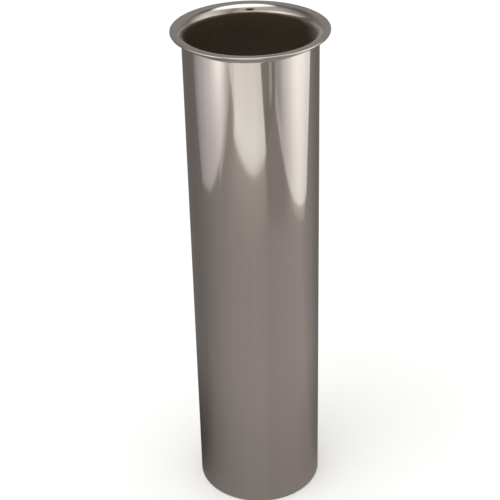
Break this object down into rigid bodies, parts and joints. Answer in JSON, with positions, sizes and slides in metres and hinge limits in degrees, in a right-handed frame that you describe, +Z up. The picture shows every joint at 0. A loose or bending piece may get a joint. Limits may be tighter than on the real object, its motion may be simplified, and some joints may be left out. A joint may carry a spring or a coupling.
{
  "type": "rod holder",
  "caption": "Flush-mount fishing rod holder: a polished steel tube with a flared rim, open at both ends, with a pin across its bore near the lower end.",
  "frame": {"origin": "centre of the tube's open lower end", "axes": "+Z up along the tube, towards the flared rim; the cross pin lies along X"},
  "size_m": [0.059, 0.059, 0.202],
  "materials": {
    "tube_steel": "polished",
    "pin_steel": "satin",
    "weld_steel": "satin"
  },
  "bodies": {
    "root": {"flared_tube": "tube_steel", "gimbal_pin": "pin_steel", "pin_welds": "weld_steel"}
  },
  "joints": []
}
